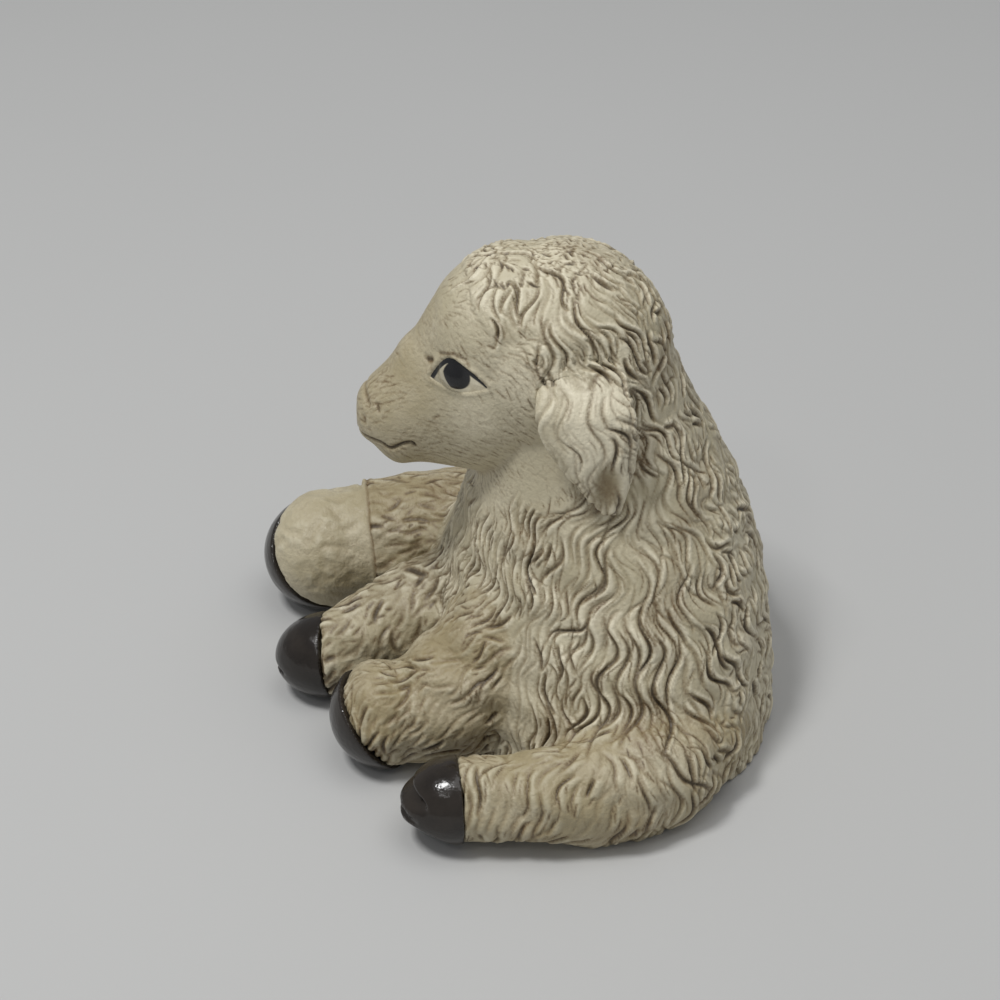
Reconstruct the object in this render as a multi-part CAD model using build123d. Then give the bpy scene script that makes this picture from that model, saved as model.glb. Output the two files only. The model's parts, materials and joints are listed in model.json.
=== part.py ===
from build123d import *
from dataclasses import dataclass, replace
from math import cos, radians, sin, sqrt
import os

# A seated lamb figurine in cast resin, hand painted.
# Sizes are in millimetres and angles in degrees. While it is built the lamb faces -Y from the
# axis of its body, its left side is +X, and it sits on the plane Z = 0.

# Torso: an upright cone of wool, widest at the belly, leaning forward into the neck
BASE_WIDTH = 49.0
BASE_DEPTH = 37.2
BELLY_HEIGHT = 8.0
BELLY_WIDTH = 47.6
BELLY_DEPTH = 36.2
BELLY_AHEAD = 0.8
CHEST_HEIGHT = 20.0
CHEST_WIDTH = 37.0
CHEST_DEPTH = 31.4
CHEST_AHEAD = 0.2
NECK_HEIGHT = 31.0
NECK_WIDTH = 25.0
NECK_DEPTH = 24.8
NECK_AHEAD = 1.3
NAPE_HEIGHT = 43.0
NAPE_WIDTH = 19.0
NAPE_DEPTH = 18.4
NAPE_AHEAD = 3.9

# Head: a round woolly crown, a forelock and a wedge of a face, turned to the lamb's right
HEAD_TURN = 17.0
CROWN_RADIUS = 11.4
CROWN_AHEAD = 5.4
CROWN_HEIGHT = 41.3
FORELOCK_RADIUS = 9.1
FORELOCK_AHEAD = 9.9
FORELOCK_HEIGHT = 43.4
BROW_AHEAD = 9.0
BROW_HEIGHT = 39.6
BROW_WIDTH = 19.0
BROW_DEPTH = 22.6
EYE_LINE_AHEAD = 15.4
EYE_LINE_HEIGHT = 37.8
EYE_LINE_WIDTH = 15.4
EYE_LINE_DEPTH = 20.0
BRIDGE_AHEAD = 21.0
BRIDGE_HEIGHT = 35.0
BRIDGE_WIDTH = 10.8
BRIDGE_DEPTH = 12.8
MUZZLE_AHEAD = 24.4
MUZZLE_HEIGHT = 34.0
MUZZLE_WIDTH = 8.4
MUZZLE_DEPTH = 8.8
NOSE_AHEAD = 26.6
NOSE_WIDTH = 3.0
NOSE_DEPTH = 3.2

# Collar: the slanted plane where head and torso meet, with a tenon through it
COLLAR_HEIGHT = 29.0
COLLAR_AHEAD = 2.5
COLLAR_SLANT = 17.0
TENON_RADIUS = 5.0
TENON_LENGTH = 6.0

# Ears: hanging leaves, each with its reach out from the middle of the head
EAR_ROOT_HEIGHT = 46.0
EAR_ROOT_AHEAD = 3.2
EAR_ROOT_REACH = 10.4
EAR_ROOT_WIDTH = 4.5
EAR_BROAD_HEIGHT = 40.4
EAR_BROAD_REACH = 12.4
EAR_WIDTH = 10.0
EAR_THICKNESS = 3.4
EAR_LOW_HEIGHT = 35.2
EAR_LOW_AHEAD = 1.9
EAR_LOW_REACH = 13.2
EAR_LOW_WIDTH = 7.0
EAR_TIP_HEIGHT = 30.4
EAR_TIP_AHEAD = 0.7
EAR_TIP_REACH = 13.6
EAR_TIP_WIDTH = 1.8
EAR_TIP_THICKNESS = 1.4
EAR_PEG_RADIUS = 1.0
EAR_PEG_LENGTH = 4.0

# Eyes: balls set into the sides of the face
EYE_RADIUS = 2.4
EYE_HEIGHT = 41.9
EYE_PROUD = 0.5

# Feet: how far each stands to the lamb's left and ahead, its radius and its hoof's length, and how
# far ahead of a foot's centre the hoof of a woolly toe begins
FRONT_LEFT_SIDE = 7.4
FRONT_LEFT_AHEAD = 27.0
FRONT_LEFT_RADIUS = 5.6
FRONT_LEFT_HOOF = 5.6
FRONT_LEFT_CUFF = 1.7
FRONT_RIGHT_SIDE = -4.7
FRONT_RIGHT_AHEAD = 30.4
FRONT_RIGHT_RADIUS = 4.8
FRONT_RIGHT_HOOF = 6.1
HIND_LEFT_SIDE = 21.6
HIND_LEFT_AHEAD = 23.0
HIND_LEFT_RADIUS = 4.6
HIND_LEFT_HOOF = 6.2
HIND_RIGHT_SIDE = -21.3
HIND_RIGHT_AHEAD = 26.8
HIND_RIGHT_RADIUS = 6.8
HIND_RIGHT_HOOF = 6.8
HIND_RIGHT_CUFF = -0.8

# Hooves: the rim that stands proud of a woolly toe, the lip that stands proud of a bare ankle, the
# cleft in the tip, and the peg
HOOF_RIM = 0.5
HOOF_LIP = 0.12
CLEFT_DEPTH = 2.0
CLEFT_WIDTH = 1.1
HOOF_PEG_RADIUS = 1.2
HOOF_PEG_LENGTH = 2.6

# Legs: the peg that each one has in the torso, and the roots, alike on both sides
LEG_PEG_RADIUS = 2.2
FRONT_ROOT_SIDE = 4.0
FRONT_ROOT_AHEAD = 6.5
FRONT_ROOT_HEIGHT = 14.0
FRONT_ROOT_GIRTH = 12.6
HIND_ROOT_SIDE = 11.5
HIND_ROOT_AHEAD = -7.0
HIND_ROOT_HEIGHT = 8.0
HIND_ROOT_GIRTH = 13.6

# Front left leg: shoulder and elbow
FRONT_LEFT_SHOULDER_SIDE = 6.0
FRONT_LEFT_SHOULDER_AHEAD = 13.0
FRONT_LEFT_SHOULDER_HEIGHT = 11.5
FRONT_LEFT_SHOULDER_GIRTH = 13.6
FRONT_LEFT_ELBOW_SIDE = 7.6
FRONT_LEFT_ELBOW_AHEAD = 19.8
FRONT_LEFT_ELBOW_HEIGHT = 6.6
FRONT_LEFT_ELBOW_GIRTH = 13.2

# Front right leg: shoulder and elbow
FRONT_RIGHT_SHOULDER_SIDE = -6.0
FRONT_RIGHT_SHOULDER_AHEAD = 15.0
FRONT_RIGHT_SHOULDER_HEIGHT = 9.0
FRONT_RIGHT_SHOULDER_GIRTH = 11.5
FRONT_RIGHT_ELBOW_SIDE = -6.0
FRONT_RIGHT_ELBOW_AHEAD = 23.0
FRONT_RIGHT_ELBOW_HEIGHT = 6.2
FRONT_RIGHT_ELBOW_GIRTH = 10.5

# Hind left leg, folded alongside the body: haunch, knee and shank
HIND_LEFT_HAUNCH_SIDE = 18.0
HIND_LEFT_HAUNCH_AHEAD = -3.5
HIND_LEFT_HAUNCH_HEIGHT = 5.2
HIND_LEFT_HAUNCH_GIRTH = 12.0
HIND_LEFT_KNEE_SIDE = 24.0
HIND_LEFT_KNEE_AHEAD = 6.4
HIND_LEFT_KNEE_HEIGHT = 4.6
HIND_LEFT_KNEE_GIRTH = 12.4
HIND_LEFT_SHANK_SIDE = 24.0
HIND_LEFT_SHANK_AHEAD = 14.2
HIND_LEFT_SHANK_HEIGHT = 4.8
HIND_LEFT_SHANK_GIRTH = 9.8

# Hind right leg, stretched forward: haunch, thigh and shin
HIND_RIGHT_HAUNCH_SIDE = -17.6
HIND_RIGHT_HAUNCH_AHEAD = 1.0
HIND_RIGHT_HAUNCH_HEIGHT = 7.6
HIND_RIGHT_HAUNCH_GIRTH = 15.4
HIND_RIGHT_THIGH_SIDE = -19.5
HIND_RIGHT_THIGH_AHEAD = 13.5
HIND_RIGHT_THIGH_HEIGHT = 7.6
HIND_RIGHT_THIGH_GIRTH = 14.6
HIND_RIGHT_SHIN_SIDE = -20.9
HIND_RIGHT_SHIN_AHEAD = 21.8
HIND_RIGHT_SHIN_HEIGHT = 7.2
HIND_RIGHT_SHIN_GIRTH = 14.6

# Tail: a flat drop that lies across the rump to the right, with its reach behind the body's axis
TAIL_ROOT_SIDE = -3.0
TAIL_ROOT_REACH = 15.2
TAIL_ROOT_HEIGHT = 14.5
TAIL_ROOT_WIDTH = 5.0
TAIL_BROAD_SIDE = -8.6
TAIL_BROAD_REACH = 17.0
TAIL_BROAD_HEIGHT = 9.4
TAIL_WIDTH = 7.6
TAIL_THICKNESS = 4.4
TAIL_TIP_SIDE = -14.0
TAIL_TIP_REACH = 14.9
TAIL_TIP_HEIGHT = 4.2
TAIL_TIP_WIDTH = 2.8
TAIL_PEG_RADIUS = 1.4
TAIL_PEG_LENGTH = 6.0

# The glue line left round every peg, and how far a peg's root overlaps its own member
GLUE_LINE = 0.1
PEG_ROOT = 1.0

# How far the torso runs below the ground before its foot is trimmed flat
SKIRT = 2.0

# Room for trimming blocks, well outside the figurine
TRIM = 200.0

UP = Vector(0, 0, 1)
ACROSS = Vector(1, 0, 0)
AHEAD = Vector(0, -1, 0)


def heading(turn):
    """Level direction, turned from straight ahead towards the lamb's left."""
    return Vector(sin(radians(turn)), -cos(radians(turn)), 0)


@dataclass
class Station:
    """A place on a leg or tail: its centre, how thick it is there, and how flat if it is flattened."""

    side: float
    ahead: float
    height: float
    girth: float
    flat: float = None

    @property
    def centre(self):
        return Vector(self.side, -self.ahead, self.height)


@dataclass
class Foot:
    """Where a foot stands, the way its hoof faces, and how the wool of the leg ends at it."""

    side: float
    ahead: float
    radius: float
    hoof_length: float
    turn: float
    dip: float
    cuff: float = 0.0
    woolly_toe: bool = False
    stepped: bool = False

    @property
    def centre(self):
        return Vector(self.side, -self.ahead, self.radius)

    @property
    def facing(self):
        return heading(self.turn) * cos(radians(self.dip)) - UP * sin(radians(self.dip))

    @property
    def cuff_plane(self):
        return Plane(self.centre + self.facing * self.cuff, z_dir=self.facing)

    @property
    def rim(self):
        return HOOF_RIM if self.woolly_toe else 0.0

    def ankle(self, waist):
        """The last station of the leg, drawn in to a waist at the hoof."""
        return Station(self.side, self.ahead, self.radius, 2 * (self.radius - waist))


# Two hooves are toe caps that point ahead. The other two are turned under woolly toes.
FEET = {
    "front_left": Foot(
        FRONT_LEFT_SIDE, FRONT_LEFT_AHEAD, FRONT_LEFT_RADIUS, FRONT_LEFT_HOOF,
        turn=-19.0, dip=36.0, cuff=FRONT_LEFT_CUFF, woolly_toe=True,
    ),
    "front_right": Foot(
        FRONT_RIGHT_SIDE, FRONT_RIGHT_AHEAD, FRONT_RIGHT_RADIUS, FRONT_RIGHT_HOOF, turn=-22.0, dip=9.0,
    ),
    "hind_left": Foot(
        HIND_LEFT_SIDE, HIND_LEFT_AHEAD, HIND_LEFT_RADIUS, HIND_LEFT_HOOF, turn=-10.0, dip=0.0,
    ),
    "hind_right": Foot(
        HIND_RIGHT_SIDE, HIND_RIGHT_AHEAD, HIND_RIGHT_RADIUS, HIND_RIGHT_HOOF,
        turn=-70.0, dip=40.0, cuff=HIND_RIGHT_CUFF, woolly_toe=True, stepped=True,
    ),
}

# The way each leg takes from its root inside the torso towards the ankle
LEGS = {
    "front_left": [
        Station(FRONT_ROOT_SIDE, FRONT_ROOT_AHEAD, FRONT_ROOT_HEIGHT, FRONT_ROOT_GIRTH),
        Station(
            FRONT_LEFT_SHOULDER_SIDE, FRONT_LEFT_SHOULDER_AHEAD,
            FRONT_LEFT_SHOULDER_HEIGHT, FRONT_LEFT_SHOULDER_GIRTH,
        ),
        Station(
            FRONT_LEFT_ELBOW_SIDE, FRONT_LEFT_ELBOW_AHEAD,
            FRONT_LEFT_ELBOW_HEIGHT, FRONT_LEFT_ELBOW_GIRTH,
        ),
    ],
    "front_right": [
        Station(-FRONT_ROOT_SIDE, FRONT_ROOT_AHEAD, FRONT_ROOT_HEIGHT, FRONT_ROOT_GIRTH),
        Station(
            FRONT_RIGHT_SHOULDER_SIDE, FRONT_RIGHT_SHOULDER_AHEAD,
            FRONT_RIGHT_SHOULDER_HEIGHT, FRONT_RIGHT_SHOULDER_GIRTH,
        ),
        Station(
            FRONT_RIGHT_ELBOW_SIDE, FRONT_RIGHT_ELBOW_AHEAD,
            FRONT_RIGHT_ELBOW_HEIGHT, FRONT_RIGHT_ELBOW_GIRTH,
        ),
    ],
    "hind_left": [
        Station(HIND_ROOT_SIDE, HIND_ROOT_AHEAD, HIND_ROOT_HEIGHT, HIND_ROOT_GIRTH),
        Station(
            HIND_LEFT_HAUNCH_SIDE, HIND_LEFT_HAUNCH_AHEAD,
            HIND_LEFT_HAUNCH_HEIGHT, HIND_LEFT_HAUNCH_GIRTH,
        ),
        Station(
            HIND_LEFT_KNEE_SIDE, HIND_LEFT_KNEE_AHEAD,
            HIND_LEFT_KNEE_HEIGHT, HIND_LEFT_KNEE_GIRTH,
        ),
        Station(
            HIND_LEFT_SHANK_SIDE, HIND_LEFT_SHANK_AHEAD,
            HIND_LEFT_SHANK_HEIGHT, HIND_LEFT_SHANK_GIRTH,
        ),
    ],
    "hind_right": [
        Station(-HIND_ROOT_SIDE, HIND_ROOT_AHEAD, HIND_ROOT_HEIGHT, HIND_ROOT_GIRTH),
        Station(
            HIND_RIGHT_HAUNCH_SIDE, HIND_RIGHT_HAUNCH_AHEAD,
            HIND_RIGHT_HAUNCH_HEIGHT, HIND_RIGHT_HAUNCH_GIRTH,
        ),
        Station(
            HIND_RIGHT_THIGH_SIDE, HIND_RIGHT_THIGH_AHEAD,
            HIND_RIGHT_THIGH_HEIGHT, HIND_RIGHT_THIGH_GIRTH,
        ),
        Station(
            HIND_RIGHT_SHIN_SIDE, HIND_RIGHT_SHIN_AHEAD,
            HIND_RIGHT_SHIN_HEIGHT, HIND_RIGHT_SHIN_GIRTH,
        ),
    ],
}


def ring(centre, axis, width, depth, across=None):
    """An ellipse square to an axis. Its width lies level unless another direction is given."""
    side = across or Vector(axis).cross(UP)
    return Plane(origin=centre, x_dir=side, z_dir=axis) * Ellipse(width / 2, depth / 2)


def limb(stations, end_axis=None):
    """A tapering member through its stations, with each ring square to the path."""
    rings = []
    for i, station in enumerate(stations):
        before = stations[max(i - 1, 0)]
        after = stations[min(i + 1, len(stations) - 1)]
        axis = (after.centre - before.centre).normalized()
        if end_axis and after is station:
            axis = end_axis
        rings.append(ring(station.centre, axis, station.girth, station.flat or station.girth))
    return loft(rings)


def largest(shape):
    """The main solid of a shape that was trimmed."""
    return max(shape.solids(), key=lambda solid: solid.volume)


def beyond(plane):
    """A block that fills the space on the side that a plane faces."""
    return plane * Pos(0, 0, TRIM / 2) * Box(TRIM, TRIM, TRIM)


def above_ground(shape):
    """What is left of a shape above the plane that the lamb sits on."""
    return largest(shape - beyond(-Plane.XY))


def peg(start, end, radius):
    """A round peg from one point to another."""
    reach = end - start
    post = Cylinder(radius, reach.length, align=(Align.CENTER, Align.CENTER, Align.MIN))
    return Plane(start, z_dir=reach.normalized()) * post


def socket(start, end, radius):
    """The hole for a peg, with the glue line all round it."""
    return peg(start, end + (end - start).normalized() * GLUE_LINE, radius + GLUE_LINE)


def turned(shape):
    """A piece of the head, turned with it."""
    return Rot(0, 0, -HEAD_TURN) * shape


def torso_blank():
    """The cone of wool, from below the ground up into the head."""
    levels = [
        (-SKIRT, BELLY_AHEAD, BASE_WIDTH, BASE_DEPTH),
        (BELLY_HEIGHT, BELLY_AHEAD, BELLY_WIDTH, BELLY_DEPTH),
        (CHEST_HEIGHT, CHEST_AHEAD, CHEST_WIDTH, CHEST_DEPTH),
        (NECK_HEIGHT, NECK_AHEAD, NECK_WIDTH, NECK_DEPTH),
        (NAPE_HEIGHT, NAPE_AHEAD, NAPE_WIDTH, NAPE_DEPTH),
    ]
    return loft([ring((0, -t, z), UP, width, depth, ACROSS) for z, t, width, depth in levels])


def collar_plane():
    """The plane where the head meets the torso, facing up and forward."""
    slant = radians(COLLAR_SLANT)
    ahead = heading(-HEAD_TURN)
    return Plane(ahead * COLLAR_AHEAD + UP * COLLAR_HEIGHT, z_dir=ahead * sin(slant) + UP * cos(slant))


def head_blank():
    """Crown, forelock and face, before the neck is joined on."""
    crown = Pos(0, -CROWN_AHEAD, CROWN_HEIGHT) * Sphere(CROWN_RADIUS)
    forelock = Pos(0, -FORELOCK_AHEAD, FORELOCK_HEIGHT) * Sphere(FORELOCK_RADIUS)
    stations = [
        (BROW_AHEAD, BROW_HEIGHT, BROW_WIDTH, BROW_DEPTH),
        (EYE_LINE_AHEAD, EYE_LINE_HEIGHT, EYE_LINE_WIDTH, EYE_LINE_DEPTH),
        (BRIDGE_AHEAD, BRIDGE_HEIGHT, BRIDGE_WIDTH, BRIDGE_DEPTH),
        (MUZZLE_AHEAD, MUZZLE_HEIGHT, MUZZLE_WIDTH, MUZZLE_DEPTH),
        (NOSE_AHEAD, MUZZLE_HEIGHT, NOSE_WIDTH, NOSE_DEPTH),
    ]
    face = loft([ring((0, -t, z), AHEAD, width, depth) for t, z, width, depth in stations])
    return turned(crown + forelock + face)


def tenon(make):
    """The head's tenon, or the mortise for it, from just above the collar into the torso."""
    collar = collar_plane()
    start = collar.origin + collar.z_dir * PEG_ROOT
    return make(start, collar.origin - collar.z_dir * TENON_LENGTH, TENON_RADIUS)


def eye_ball(side, growth=0.0):
    """An eye, set into the face on the left (side 1) or the right (side -1), or its socket."""
    rise = (EYE_HEIGHT - EYE_LINE_HEIGHT) / (EYE_LINE_DEPTH / 2)
    reach = EYE_LINE_WIDTH / 2 * sqrt(1 - rise**2) - (EYE_RADIUS - EYE_PROUD)
    return turned(Pos(side * reach, -EYE_LINE_AHEAD, EYE_HEIGHT) * Sphere(EYE_RADIUS + growth))


def ear_blank(side):
    """A hanging leaf, from under the crown's wool to a narrow tip."""
    stations = [
        (EAR_ROOT_REACH, EAR_ROOT_AHEAD, EAR_ROOT_HEIGHT, EAR_ROOT_WIDTH, EAR_THICKNESS),
        (EAR_BROAD_REACH, EAR_ROOT_AHEAD, EAR_BROAD_HEIGHT, EAR_WIDTH, EAR_THICKNESS),
        (EAR_LOW_REACH, EAR_LOW_AHEAD, EAR_LOW_HEIGHT, EAR_LOW_WIDTH, EAR_THICKNESS),
        (EAR_TIP_REACH, EAR_TIP_AHEAD, EAR_TIP_HEIGHT, EAR_TIP_WIDTH, EAR_TIP_THICKNESS),
    ]
    leaf = loft([
        ring((side * reach, -t, z), -UP, width, thickness, AHEAD)
        for reach, t, z, width, thickness in stations
    ])
    return turned(leaf)


def ear_peg(side, make):
    """An ear's peg, or the socket for it, from the middle of the leaf into the head."""
    start = Vector(side * EAR_BROAD_REACH, -EAR_ROOT_AHEAD, EAR_BROAD_HEIGHT)
    return turned(make(start, start - ACROSS * side * EAR_PEG_LENGTH, EAR_PEG_RADIUS))


def toe(foot, growth):
    """The rounded end of a foot, drawn out along the way that its hoof faces."""
    radius = foot.radius + growth
    ball = scale(Sphere(radius), by=(1, 1, (foot.hoof_length + growth) / radius))
    return Plane(foot.centre, z_dir=foot.facing) * ball


def hoof_blank(foot):
    """The hoof, from its cuff out to the tip, flat where it meets the ground."""
    return above_ground(toe(foot, foot.rim) & beyond(foot.cuff_plane))


def cleft(foot):
    """The notch between the two toes, open at the tip of the hoof."""
    tip = foot.hoof_length + foot.rim
    level = foot.facing.cross(UP)
    across = level.cross(foot.facing) if foot.woolly_toe else level
    wedge = Polyline(
        (tip - CLEFT_DEPTH, 0),
        (tip + CLEFT_DEPTH, -CLEFT_WIDTH),
        (tip + CLEFT_DEPTH, CLEFT_WIDTH),
        close=True,
    )
    notch = extrude(make_face(wedge), foot.radius, both=True)
    return Plane(foot.centre, x_dir=foot.facing, z_dir=across.normalized()) * notch


def hoof_peg(foot, make):
    """A hoof's peg, or the socket for it, back into the leg."""
    cuff = foot.cuff_plane
    start = cuff.origin + cuff.z_dir * PEG_ROOT
    return make(start, cuff.origin - cuff.z_dir * HOOF_PEG_LENGTH, HOOF_PEG_RADIUS)


def leg_blank(stations, foot):
    """A leg of wool from its root to its cuff, before its foot is trimmed flat."""
    if foot.stepped:
        shin = replace(stations[-1], girth=2 * foot.radius)
        wool = limb(stations) + limb([shin, foot.ankle(HOOF_RIM)]) + toe(foot, 0.0)
    elif foot.woolly_toe:
        wool = limb(stations + [foot.ankle(HOOF_RIM)]) + toe(foot, 0.0)
    else:
        wool = limb(stations + [foot.ankle(HOOF_LIP)], foot.facing)
    return wool - hoof_blank(foot)


def leg_peg(stations, make):
    """A leg's peg, or the socket for it, from inside the leg to just past its root in the torso."""
    start = stations[2].centre
    root = stations[0].centre
    return make(start, root + (root - start).normalized() * PEG_ROOT, LEG_PEG_RADIUS)


def trimmed(blank, members, post):
    """A blank cut back to the members already in place, but for its own peg."""
    for member in members:
        blank = largest(blank - (member - post))
    return blank


def tail_stations():
    """The tail's way down and across the rump."""
    return [
        Station(TAIL_ROOT_SIDE, -TAIL_ROOT_REACH, TAIL_ROOT_HEIGHT, TAIL_ROOT_WIDTH, TAIL_THICKNESS),
        Station(TAIL_BROAD_SIDE, -TAIL_BROAD_REACH, TAIL_BROAD_HEIGHT, TAIL_WIDTH, TAIL_THICKNESS),
        Station(TAIL_TIP_SIDE, -TAIL_TIP_REACH, TAIL_TIP_HEIGHT, TAIL_TIP_WIDTH),
    ]


def tail_blank():
    """The tail before it is trimmed to the rump, with its flat side against the wool."""
    stations = tail_stations()
    run = stations[-1].centre - stations[0].centre
    outward = (stations[1].centre - UP * stations[1].height).normalized()
    across = run.cross(outward)
    return loft([ring(s.centre, run, s.girth, s.flat or s.girth, across) for s in stations])


def tail_peg(make):
    """The tail's peg, or the socket for it, into the torso towards the body's axis."""
    broad = tail_stations()[1]
    inward = (UP * broad.height - broad.centre).normalized()
    return make(broad.centre - inward * PEG_ROOT, broad.centre + inward * TAIL_PEG_LENGTH, TAIL_PEG_RADIUS)


def build():
    """All the pieces by name, each trimmed to the one that it seats on."""
    body = torso_blank()
    over_collar = beyond(collar_plane())
    torso = above_ground(largest(body - over_collar)) - tenon(socket)
    head = largest((head_blank() + body) & over_collar) + tenon(peg)
    pieces = {}

    for hand, side in (("left", 1), ("right", -1)):
        pieces[f"eye_{hand}"] = eye_ball(side)
        pieces[f"ear_{hand}"] = largest(ear_blank(side) - head - torso) + ear_peg(side, peg)
    for hand, side in (("left", 1), ("right", -1)):
        head = head - eye_ball(side, GLUE_LINE) - ear_peg(side, socket)

    placed = [body]
    for name, stations in LEGS.items():
        end, hand = name.split("_")
        foot = FEET[name]
        leg = above_ground(trimmed(leg_blank(stations, foot), placed, leg_peg(stations, peg)))
        placed.append(leg)
        pieces[f"{end}_leg_{hand}"] = leg - hoof_peg(foot, socket)
        pieces[f"{end}_hoof_{hand}"] = largest(hoof_blank(foot) - cleft(foot)) + hoof_peg(foot, peg)
        torso = torso - leg_peg(stations, socket)

    pieces["tail"] = largest(tail_blank() - body) + tail_peg(peg)
    pieces["torso"] = torso - tail_peg(socket)
    pieces["head"] = head
    return pieces


def stand_at_origin(pieces):
    """Move the lamb so that the middle of its outline on the ground is the origin."""
    boxes = [piece.bounding_box() for piece in pieces.values()]
    middle_x = (min(box.min.X for box in boxes) + max(box.max.X for box in boxes)) / 2
    middle_y = (min(box.min.Y for box in boxes) + max(box.max.Y for box in boxes)) / 2
    place = Pos(-middle_x, -middle_y, 0)
    return {name: place * piece for name, piece in pieces.items()}


os.makedirs("parts", exist_ok=True)
for name, piece in stand_at_origin(build()).items():
    export_step(piece, f"parts/{name}.step")
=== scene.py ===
import json
import math
from dataclasses import dataclass

import bmesh
import bpy
import numpy as np
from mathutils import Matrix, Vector
from mathutils.bvhtree import BVHTree

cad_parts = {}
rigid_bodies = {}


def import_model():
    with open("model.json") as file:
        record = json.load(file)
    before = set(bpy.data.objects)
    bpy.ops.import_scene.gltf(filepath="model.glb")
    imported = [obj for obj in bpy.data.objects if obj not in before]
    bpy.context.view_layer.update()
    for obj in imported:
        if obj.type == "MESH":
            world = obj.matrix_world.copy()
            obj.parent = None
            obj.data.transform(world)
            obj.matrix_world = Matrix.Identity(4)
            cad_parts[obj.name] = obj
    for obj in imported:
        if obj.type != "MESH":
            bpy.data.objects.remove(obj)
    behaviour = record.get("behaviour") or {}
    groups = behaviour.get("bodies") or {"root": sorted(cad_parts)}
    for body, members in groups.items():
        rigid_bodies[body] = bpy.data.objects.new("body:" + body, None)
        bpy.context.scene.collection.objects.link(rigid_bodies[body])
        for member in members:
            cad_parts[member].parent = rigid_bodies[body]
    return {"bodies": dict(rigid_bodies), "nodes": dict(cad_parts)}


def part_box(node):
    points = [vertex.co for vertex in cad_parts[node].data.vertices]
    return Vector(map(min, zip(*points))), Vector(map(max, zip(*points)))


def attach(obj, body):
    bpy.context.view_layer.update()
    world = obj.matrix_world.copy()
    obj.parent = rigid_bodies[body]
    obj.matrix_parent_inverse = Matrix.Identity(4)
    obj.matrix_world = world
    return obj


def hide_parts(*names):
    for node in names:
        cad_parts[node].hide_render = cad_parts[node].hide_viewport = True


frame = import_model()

# The looks of a hand-painted resin lamb: carved wool, painted eyes and glossy hooves.
# Shapes are worked out in millimetres, and written to Blender in metres.
MM = 0.001
MESH_NODES = set(frame["nodes"].values()) | set(frame["bodies"].values())
for leftover in [o for o in bpy.data.objects if o not in MESH_NODES]:
    bpy.data.objects.remove(leftover)
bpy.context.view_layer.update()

# Fineness of the sculpted skins
FLEECE_VOXEL = 0.19
HOOF_VOXEL = 0.16

# Camera, as the photograph was taken
CAMERA_AZIMUTH = 73.0
CAMERA_ELEVATION = 35.0
CAMERA_DISTANCE = 216.4
CAMERA_LENS = 74.0
TARGET_AHEAD = 12.0
TARGET_HEIGHT = 25.0

# The belly lies a little ahead of the body's axis
BELLY_AHEAD = 0.8

WOOL_NODES = [
    "torso", "head", "front_leg_left", "front_leg_right", "hind_leg_left", "hind_leg_right", "tail",
]
LEG_NODES = [name for name in WOOL_NODES if "leg" in name]
EYE_NODES = ["eye_left", "eye_right"]
EAR_NODES = ["ear_left", "ear_right"]
FLEECE_NODES = WOOL_NODES + EAR_NODES
HOOF_NODES = [name.replace("leg", "hoof") for name in LEG_NODES]

UP = np.array([0.0, 0.0, 1.0])
FAR = 1e6
rng = np.random.default_rng(7)


def middle(node):
    """The middle of a CAD node's box, in millimetres."""
    low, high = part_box(node)
    return np.array((low + high) / 2) / MM


def unit(vectors):
    """Vectors of length one."""
    return vectors / np.maximum(np.linalg.norm(vectors, axis=-1, keepdims=True), 1e-9)


def numbered(node):
    """The number of a fleece node."""
    return FLEECE_NODES.index(node)


def ramp(values, start, end):
    """A smooth rise from 0 at start to 1 at end."""
    share = np.clip((values - start) / (end - start), 0, 1)
    return share * share * (3 - 2 * share)


# The head's own directions, from the line between its eyes
EYES_MIDDLE = (middle("eye_left") + middle("eye_right")) / 2
HEAD_LEFT = unit(middle("eye_left") - middle("eye_right"))
HEAD_AHEAD = np.cross(HEAD_LEFT, UP)
BODY_AXIS = middle("torso") * (1, 1, 0) + (0, BELLY_AHEAD, 0)


def on_head(points):
    """How far points lie ahead of, to the side of and above the middle of the eyes."""
    reach = points - EYES_MIDDLE
    return reach @ HEAD_AHEAD, np.abs(reach @ HEAD_LEFT), reach[:, 2]


# Skins: closed surfaces of quads

class Skin:
    """A closed surface of quads, with its points in millimetres."""

    def __init__(self, points, quads):
        self.points = points
        self.quads = quads
        count = len(points)
        sides = np.stack([quads, np.roll(quads, -1, axis=1)], axis=2).reshape(-1, 2)
        sides.sort(axis=1)
        keys = np.unique(sides[:, 0] * count + sides[:, 1])
        self.ends = np.stack([keys // count, keys % count])
        self.degree = np.bincount(self.ends.ravel(), minlength=count)

    def relaxed(self, values, rounds, share=0.5):
        """Values at the points, evened out with their neighbours'."""
        values = np.array(values, float)
        start, end = self.ends
        count = len(self.points)
        for column in values.reshape(count, -1).T:
            for _ in range(rounds):
                total = np.bincount(start, column[end], count) + np.bincount(end, column[start], count)
                column += share * (total / self.degree - column)
        return values

    def normals(self):
        """The outward direction at each point."""
        corners = self.points[self.quads]
        facing = np.cross(corners[:, 2] - corners[:, 0], corners[:, 3] - corners[:, 1])
        count = len(self.points)
        total = np.zeros((count, 3))
        for corner in self.quads.T:
            for axis in range(3):
                total[:, axis] += np.bincount(corner, facing[:, axis], count)
        return unit(total)


def largest_part(points, quads):
    """The points and quads of the largest connected part of a surface."""
    label = np.arange(len(points))
    while True:
        lowest = label[quads].min(axis=1)
        spread = label.copy()
        for corner in quads.T:
            np.minimum.at(spread, corner, lowest)
        spread = spread[spread]
        if (spread == label).all():
            break
        label = spread
    kept = label == np.bincount(label).argmax()
    number = np.cumsum(kept) - 1
    return points[kept], number[quads[kept[quads[:, 0]]]]


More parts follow.
